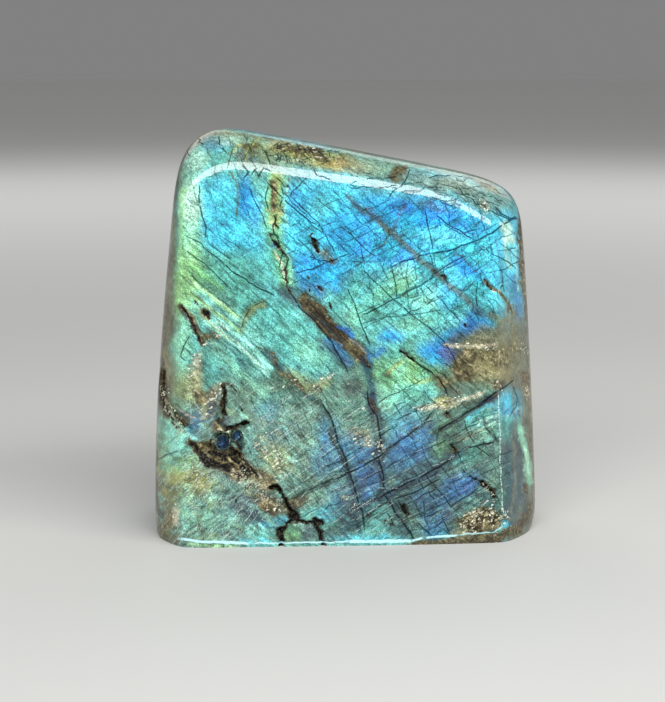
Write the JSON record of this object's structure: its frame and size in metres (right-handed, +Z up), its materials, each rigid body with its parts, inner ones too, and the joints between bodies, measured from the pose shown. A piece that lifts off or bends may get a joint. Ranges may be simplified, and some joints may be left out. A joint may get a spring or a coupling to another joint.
{
  "type": "polished labradorite freeform",
  "caption": "One-piece natural labradorite freeform with ground, polished faces and a sawn flat foot, standing upright as a display stone.",
  "frame": {"origin": "middle of the flat sawn foot", "axes": "+Z up, -Y towards the polished front, +X to the right seen from the front"},
  "size_m": [0.0986, 0.0538, 0.1028],
  "materials": {
    "polished_labradorite": "polished grey-green feldspar with a blue and green flash, brown veins and rough natural pits"
  },
  "bodies": {
    "root": {"labradorite_stone": "polished_labradorite"}
  },
  "joints": []
}
